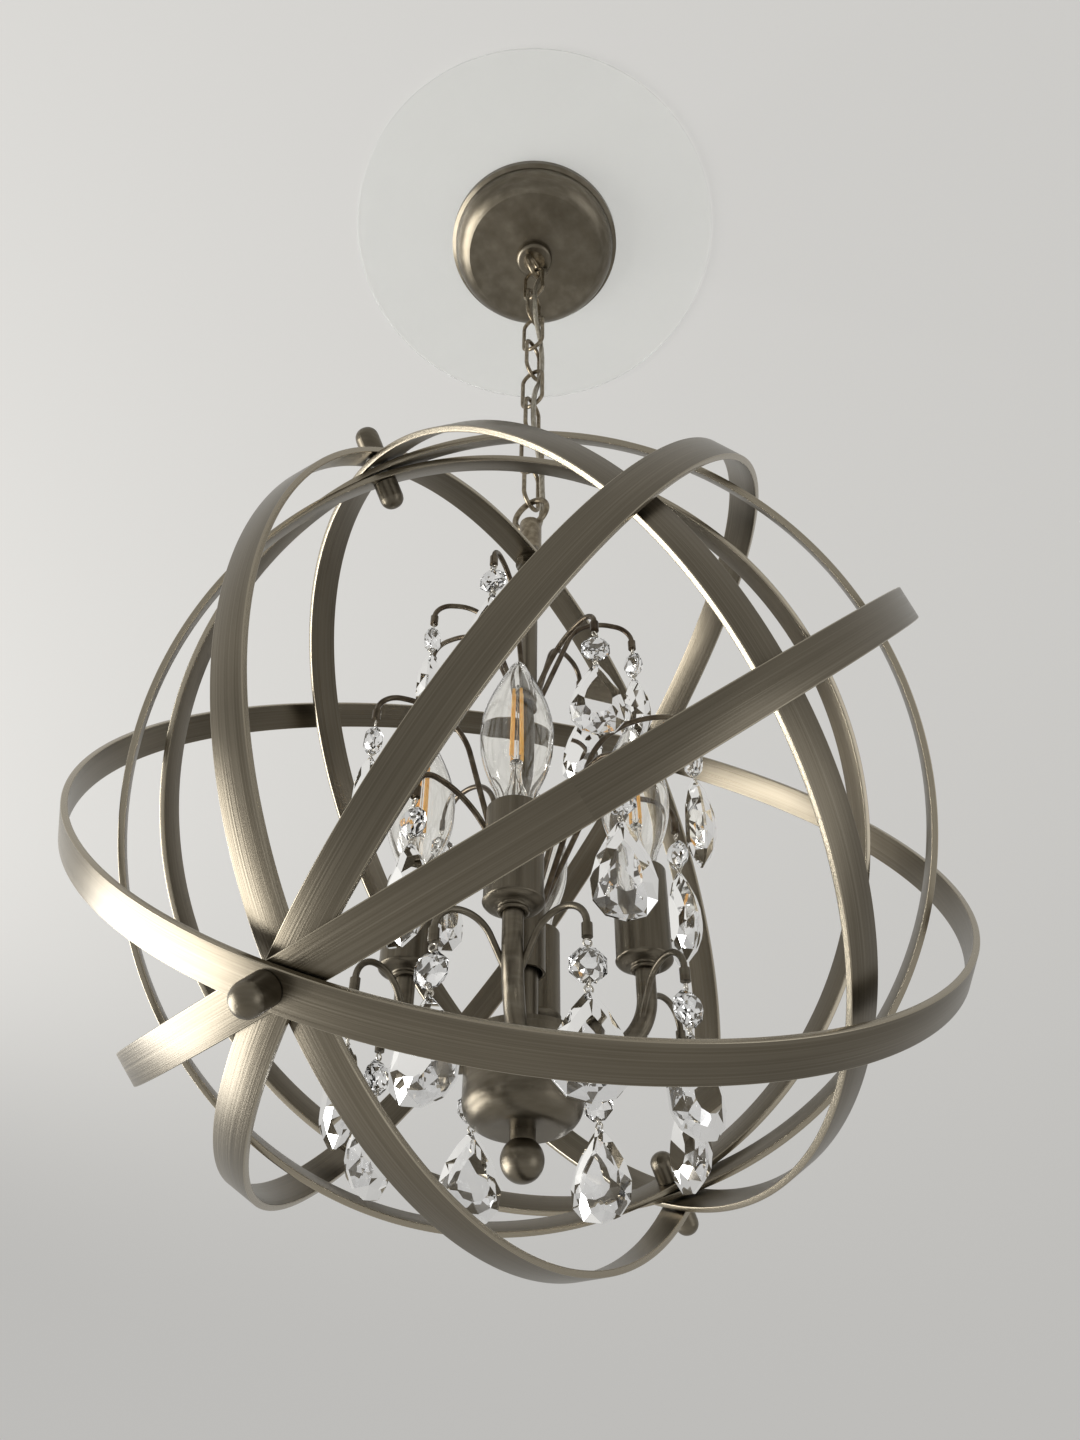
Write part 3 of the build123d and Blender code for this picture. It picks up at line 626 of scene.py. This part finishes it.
# share of the bulb's height and radius there
bulb_shape = (
    (0.0, 0.0084), (0.06, 0.0086), (0.13, 0.0099), (0.20, 0.0125), (0.28, 0.0151), (0.36, 0.0168),
    (0.44, 0.01745), (0.52, 0.0175), (0.60, 0.0165), (0.68, 0.0146), (0.76, 0.0119), (0.83, 0.0092),
    (0.90, 0.0062), (0.95, 0.0041), (0.985, 0.0020), (1.0, 0.0),
)
# radius and height of the glass mount inside each bulb
mount_shape = ((0.0062, 0.0012), (0.0056, 0.009), (0.0034, 0.016), (0.0024, 0.025), (0.0030, 0.029), (0.0, 0.0295))
mount_sides = 24
# filament rods: heights of their ends above the foot of the glass, and how far these stand from the bulb's axis
rod_low, rod_high = 0.032, 0.074
low_reach, high_reach = 0.0034, 0.0026
rod_radius = 0.0008
rod_sides = 10
rod_turns = [radians(candle_turn + 45 + 90 * quarter) for quarter in range(4)]
# wires from the mount and the crown to the rods, and the post between mount and crown
lead_foot, lead_crown = 0.0285, 0.0785
lead_low, lead_high = 0.0323, 0.0737
low_bow, high_bow = 0.0004, 0.0006
lead_radius = 0.00022
post_middle = 0.053
post_radius = 0.00025
lead_sides = 6


def smooth_profile(profile, steps=4):
    """Profile with extra points along a smooth curve through its own."""
    places = [Vector((0, *pair)) for pair in profile]
    places = [places[0] * 2 - places[1]] + places + [places[-1] * 2 - places[-2]]
    result = []
    for index in range(1, len(places) - 2):
        a, b, c, d = places[index - 1:index + 3]
        for step in range(steps):
            t = step / steps
            square = (2 * a - 5 * b + 4 * c - d) * t * t
            cube = (3 * b - a - 3 * c + d) * t ** 3
            point = 0.5 * ((2 * b) + (c - a) * t + square + cube)
            result.append((point.y, point.z))
    result.append(profile[-1])
    return result


def bulb_profile(inset):
    """Radius and height of a bulb's wall, drawn inwards by an inset."""
    pairs = []
    for share, radius in bulb_shape:
        height = share * (bulb_length - inside_loss * inset) + inset * inside_lift
        pairs.append((max(radius - inset, 0.0), height))
    return smooth_profile(pairs)


def inside_bulb(centre, height, reach=0.0, turn=0.0):
    """Point in a bulb at a height above the foot of its glass, on its axis or a reach away from it."""
    return Vector((centre[0] + reach * cos(turn), centre[1] + reach * sin(turn), glass_low[2] + height))


outside = bulb_profile(0.0)
inside = list(reversed(bulb_profile(glass_wall)))
bulb_groups = []
rod_groups = []
mount_groups = []
wire_groups = []
for centre in candle_centres:
    base = (*centre, glass_low[2])
    bulb_groups.append(turned(outside + inside + [outside[0]], base, glass_sides))
    mount_groups.append(turned(smooth_profile(mount_shape), base, mount_sides))
    foot = inside_bulb(centre, lead_foot)
    crown = inside_bulb(centre, lead_crown)
    for turn in rod_turns:
        low = inside_bulb(centre, rod_low, low_reach, turn)
        high = inside_bulb(centre, rod_high, high_reach, turn)
        rod_groups.append(tube([low, (low + high) / 2, high], rod_radius, rod_sides))
        low = inside_bulb(centre, lead_low, low_reach, turn)
        high = inside_bulb(centre, lead_high, high_reach, turn)
        low_bend = (foot + low) / 2 + Vector((0, 0, low_bow))
        high_bend = (high + crown) / 2 + Vector((0, 0, high_bow))
        wire_groups.append(tube([foot, low_bend, low], lead_radius, lead_sides))
        wire_groups.append(tube([high, high_bend, crown], lead_radius, lead_sides))
    wire_groups.append(tube([foot, inside_bulb(centre, post_middle), crown], post_radius, lead_sides))
bulbs = merged("bulb_envelopes", bulb_groups)
finish_piece(bulbs, bulb_glass, "frame", "bulb_glass", "bulb_glass")
filaments = merged("filament_rods", rod_groups)
finish_piece(filaments, filament_finish, "frame", "filament", "filaments")
mounts = merged("filament_mounts", mount_groups)
finish_piece(mounts, bulb_glass, "frame", "bulb_glass")
wires = merged("filament_wires", wire_groups)
finish_piece(wires, pin_metal, "frame", "filament")

# ---------------------------------------------------------------- cups under the candle sleeves
cup_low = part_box("candle_cups")[0][2]
cup_sides = 72
# radius and height round the section of a cup
cup_shape = (
    (0.0049, 0.0002), (0.0062, 0.0000), (0.0069, 0.0006), (0.0068, 0.0014), (0.0062, 0.0021), (0.0070, 0.0028),
    (0.0092, 0.0031), (0.0114, 0.0036), (0.0127, 0.0043), (0.0133, 0.0050), (0.0134, 0.0054), (0.0132, 0.0055),
    (0.0119, 0.0055), (0.0116, 0.0058), (0.0116, 0.0105), (0.0049, 0.0105), (0.0049, 0.0002),
)
cup_groups = [turned(cup_shape, (*centre, cup_low), cup_sides) for centre in candle_centres]
cups = merged("cup_forms", cup_groups)
finish_piece(cups, round_metal, "frame", "aged_brass", "candle_cups")

# ---------------------------------------------------------------- supply cord
cord_stretches = (
    ("cord_top_run", pivot_heights[0] + pivot_span, open_end, "ceiling_kit", None, "cord_top"),
    ("cord_top_bend", pivot_heights[0] - pivot_span, pivot_heights[0] + pivot_span, "ceiling_kit", "chain", None),
    ("cord_chain_run", pivot_heights[1] + pivot_span, pivot_heights[0] - pivot_span, "chain", None, "cord"),
    ("cord_end_bend", pivot_heights[1] - pivot_span, pivot_heights[1] + pivot_span, "chain", "frame", None),
    ("cord_end_run", -open_end, pivot_heights[1] - pivot_span, "frame", None, "cord_end"),
)


def fine_route(route, spacing=0.0012):
    """Evenly spaced points along a route."""
    fine = [route[0]]
    for first, second in zip(route, route[1:]):
        count = max(1, round((second - first).length / spacing))
        fine += [first.lerp(second, step / count) for step in range(1, count + 1)]
    return fine


fine_cord = fine_route(cord_route)
for name, low, high, body, other_body, solid in cord_stretches:
    stretch = [point for point in fine_cord if low - stretch_overlap <= point.z <= high + stretch_overlap]
    points, faces = tube(stretch, cord_radius, cord_sides)
    piece = mesh_object(name, points, faces)
    piece.data.materials.append(cord_finish)
    if other_body:
        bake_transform(piece)
    else:
        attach(piece, body)
        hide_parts(solid)

# ---------------------------------------------------------------- carried-over solids
plain_finishes = {
    "ceiling_disc": disc_plastic, "crossbar": zinc_metal, "canopy_pipe": zinc_metal, "canopy_nut": zinc_metal,
    "canopy": round_metal, "screw_collar": round_metal, "canopy_loop": chain_metal, "chain_links": chain_metal,
    "end_link": chain_metal, "fixture_loop": chain_metal, "stem": upright_metal, "stem_fixings": round_metal,
    "pivot_bolts": zinc_metal, "pivot_knobs": round_metal, "pivot_spacers": zinc_metal, "column": upright_metal,
    "bowl": round_metal, "finial": round_metal, "upper_spray": wire_metal, "middle_spray": wire_metal,
    "arm_1": round_metal, "arm_2": round_metal, "arm_3": round_metal, "arm_4": round_metal,
    "candle_sleeves": upright_metal, "sockets": black_plastic, "bulb_bases": base_metal,
}
for node, material in plain_finishes.items():
    solid = nodes[node]
    solid.data.materials.clear()
    solid.data.materials.append(material)

# ---------------------------------------------------------------- ceiling, floor and light
pale = (0.80, 0.79, 0.765)
stage_glow = 0.62
stage_share = 0.3
stage_reach = 30.0
ceiling_height = 0.0006
floor_height = -2.3
# strength of the world's light, and of the world as it is seen
world_strength = 0.30
seen_strength = 0.68
# how far the lamps stand to the side, along the view and below the cage's centre
lamp_side = 1.9
key_ahead = 0.35
fill_behind = 0.9
lamp_drop = Vector((0, 0, -0.5))


def plain_view(tree_nodes, links):
    """One for rays from the camera, off gloss or through glass, and nothing for the light itself."""
    path = tree_nodes.new("ShaderNodeLightPath")
    either = tree_nodes.new("ShaderNodeMath")
    either.operation = "MAXIMUM"
    links.new(path.outputs["Is Camera Ray"], either.inputs[0])
    links.new(path.outputs["Is Glossy Ray"], either.inputs[1])
    every = tree_nodes.new("ShaderNodeMath")
    every.operation = "MAXIMUM"
    links.new(either.outputs["Value"], every.inputs[0])
    links.new(path.outputs["Is Transmission Ray"], every.inputs[1])
    return every.outputs["Value"]


def stage_plane(name, height, reach, one_way=False):
    """Level pale surface that belongs to the studio and not to the object."""
    points = [(-reach, -reach, height), (reach, -reach, height), (reach, reach, height), (-reach, reach, height)]
    face = (3, 2, 1, 0) if one_way else (0, 1, 2, 3)
    plane = mesh_object(name, points, [face], smooth=False)
    material, tree_nodes, links, shader = new_material(name)
    shader.inputs["Base Color"].default_value = (*(value * stage_share for value in pale), 1)
    shader.inputs["Roughness"].default_value = 0.9
    shader.inputs["Specular IOR Level"].default_value = 0.1
    links.new(plain_view(tree_nodes, links), shader.inputs["Emission Strength"])
    shader.inputs["Emission Color"].default_value = (*(value * stage_glow for value in pale), 1)
    if one_way:
        clear = tree_nodes.new("ShaderNodeBsdfTransparent")
        side = tree_nodes.new("ShaderNodeNewGeometry")
        mix = tree_nodes.new("ShaderNodeMixShader")
        links.new(side.outputs["Backfacing"], mix.inputs["Fac"])
        links.new(shader.outputs["BSDF"], mix.inputs[1])
        links.new(clear.outputs["BSDF"], mix.inputs[2])
        links.new(mix.outputs["Shader"], tree_nodes["Material Output"].inputs["Surface"])
    plane.data.materials.append(material)


stage_plane("ceiling", ceiling_height, stage_reach, one_way=True)
stage_plane("floor", floor_height, stage_reach)


def soft_lamp(name, place, target, size, power, colour):
    """Soft rectangular lamp aimed at a point."""
    data = bpy.data.lights.new(name, "AREA")
    data.shape = "RECTANGLE"
    data.size, data.size_y = size
    data.energy = power
    data.color = colour
    lamp = bpy.data.objects.new(name, data)
    lamp.location = place
    lamp.rotation_euler = (Vector(target) - Vector(place)).to_track_quat("-Z", "Y").to_euler()
    scene.collection.objects.link(lamp)


key_side = -level_right
key_place = cage_centre + key_side * lamp_side + view_heading * key_ahead + lamp_drop
fill_place = cage_centre - key_side * lamp_side - view_heading * fill_behind + lamp_drop
soft_lamp("key", key_place, cage_centre, (1.7, 1.4), 66, (1.0, 0.99, 0.97))
soft_lamp("fill", fill_place, cage_centre, (1.4, 1.4), 6, (0.97, 0.98, 1.0))

world = bpy.data.worlds.new("studio")
scene.world = world
world.use_nodes = True
world_nodes = world.node_tree.nodes
world_links = world.node_tree.links
background = world_nodes["Background"]
background.inputs["Color"].default_value = (0.74, 0.735, 0.72, 1)
background.inputs["Strength"].default_value = world_strength
seen = world_nodes.new("ShaderNodeBackground")
seen.inputs["Color"].default_value = (*pale, 1)
seen.inputs["Strength"].default_value = seen_strength
choice = world_nodes.new("ShaderNodeMixShader")
world_links.new(plain_view(world_nodes, world_links), choice.inputs["Fac"])
world_links.new(background.outputs["Background"], choice.inputs[1])
world_links.new(seen.outputs["Background"], choice.inputs[2])
world_links.new(choice.outputs["Shader"], world_nodes["World Output"].inputs["Surface"])
scene.view_settings.view_transform = "Standard"
